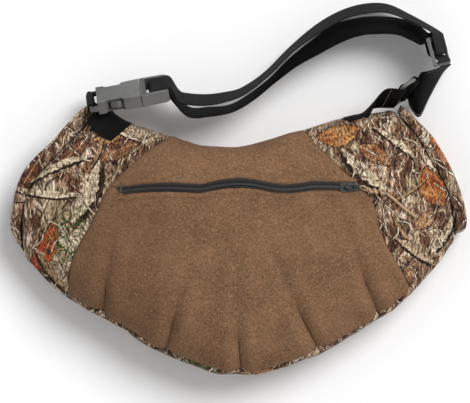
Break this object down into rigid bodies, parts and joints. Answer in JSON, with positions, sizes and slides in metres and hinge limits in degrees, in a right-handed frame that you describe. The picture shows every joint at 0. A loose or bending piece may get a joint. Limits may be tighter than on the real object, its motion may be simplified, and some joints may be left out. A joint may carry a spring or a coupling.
{
  "type": "hand warmer muff",
  "caption": "Padded crescent muff on a waist belt: hands go in at both cuffs, a zipped pocket is in front, and a side-release buckle and an adjuster close the belt.",
  "frame": {"origin": "on the flat of the back, under the middle of the hand tunnel", "axes": "+X towards the right cuff, +Y towards the belt, +Z out of the front, the muff lying on its back"},
  "size_m": [0.4446, 0.3705, 0.0936],
  "materials": {
    "brown_fleece": "matt bonded fleece",
    "camouflage": "matt printed fleece",
    "padding": "matt wadding",
    "lining_fleece": "matt pile fleece",
    "elastic": "matt",
    "zip_tape": "matt woven",
    "zip_teeth": "satin",
    "black_metal": "satin",
    "tan_cord": "braided",
    "grey_plastic": "satin moulded",
    "silver_metal": "satin",
    "black_webbing": "ribbed webbing"
  },
  "bodies": {
    "muff": {"front_panel": "brown_fleece", "side_panel_left": "camouflage", "side_panel_right": "camouflage", "back_panel": "camouflage", "insulation": "padding", "lining": "lining_fleece", "cuff_left": "camouflage", "cuff_right": "camouflage", "elastic_left": "elastic", "elastic_right": "elastic", "pocket_bag": "lining_fleece", "zip_tape_upper": "zip_tape", "zip_tape_lower": "zip_tape", "zip_teeth_upper": "zip_teeth", "zip_teeth_lower": "zip_teeth", "zip_bottom_stop": "black_metal", "zip_top_stop_upper": "black_metal", "zip_top_stop_lower": "black_metal", "belt_webbing": "black_webbing", "anchor_tab_left": "black_webbing", "anchor_tab_right": "black_webbing"},
    "zip_slider": {"zip_slider": "black_metal"},
    "pull_tab": {"zip_pull_tab": "black_metal", "pull_cord_knot": "tan_cord", "pull_cord": "tan_cord"},
    "buckle_socket": {"buckle_socket": "grey_plastic"},
    "buckle_plug": {"buckle_plug": "grey_plastic"},
    "latch_arm_upper": {"buckle_arm_upper": "grey_plastic"},
    "latch_arm_lower": {"buckle_arm_lower": "grey_plastic"},
    "strap_ring": {"strap_ring": "grey_plastic"},
    "tri_glide": {"tri_glide": "silver_metal"}
  },
  "joints": [
    {"name": "zip_travel", "type": "hinge", "parent": "muff", "child": "zip_slider", "pos_m": [0, 0.0505, -0.694], "axis": [0, -1, 0], "range_deg": [0, 15.7], "deforming": ["zip_teeth_upper", "zip_teeth_lower", "pull_cord", "pull_cord_knot"]},
    {"name": "pull_tab_swing", "type": "hinge", "parent": "zip_slider", "child": "pull_tab", "pos_m": [0.10829, 0.0505, 0.0845], "axis": [0, -1, 0], "range_deg": [0, 140]},
    {"name": "buckle_swing", "type": "hinge", "parent": "muff", "child": "buckle_socket", "pos_m": [-0.14783, 0.13563, 0.046], "axis": [0.0696, -0.3681, 0.9272], "range_deg": [0, 25], "deforming": ["belt_webbing", "anchor_tab_left"]},
    {"name": "buckle_release", "type": "slide", "parent": "buckle_socket", "child": "buckle_plug", "axis": [0.9826, 0.1857, 0], "range_m": [0, 0.032], "deforming": ["belt_webbing", "buckle_arm_upper", "buckle_arm_lower"]},
    {"name": "arm_lower_squeeze", "type": "hinge", "parent": "buckle_plug", "child": "latch_arm_lower", "pos_m": [-0.09996, 0.14944, 0.03441], "axis": [-0.1722, 0.9111, 0.3746], "range_deg": [0, 6], "stiffness_Nm_per_rad": 0.2},
    {"name": "arm_upper_squeeze", "type": "hinge", "parent": "buckle_plug", "child": "latch_arm_upper", "pos_m": [-0.09822, 0.14024, 0.05759], "axis": [0.1722, -0.9111, -0.3746], "range_deg": [0, 6], "stiffness_Nm_per_rad": 0.2},
    {"name": "ring_swing", "type": "hinge", "parent": "muff", "child": "strap_ring", "pos_m": [0.1592, 0.1419, 0.0435], "axis": [0.2709, 0.4577, 0.8469], "range_deg": [-20, 0], "deforming": ["belt_webbing", "anchor_tab_right"]},
    {"name": "adjuster_travel", "type": "hinge", "parent": "muff", "child": "tri_glide", "pos_m": [0.1394, 0.163, 0.038], "axis": [0, 0, 1], "range_deg": [0, 40], "deforming": ["belt_webbing"]}
  ],
  "couplings": [
    {"joint": "arm_upper_squeeze", "follows": "arm_lower_squeeze", "ratio": 1}
  ]
}
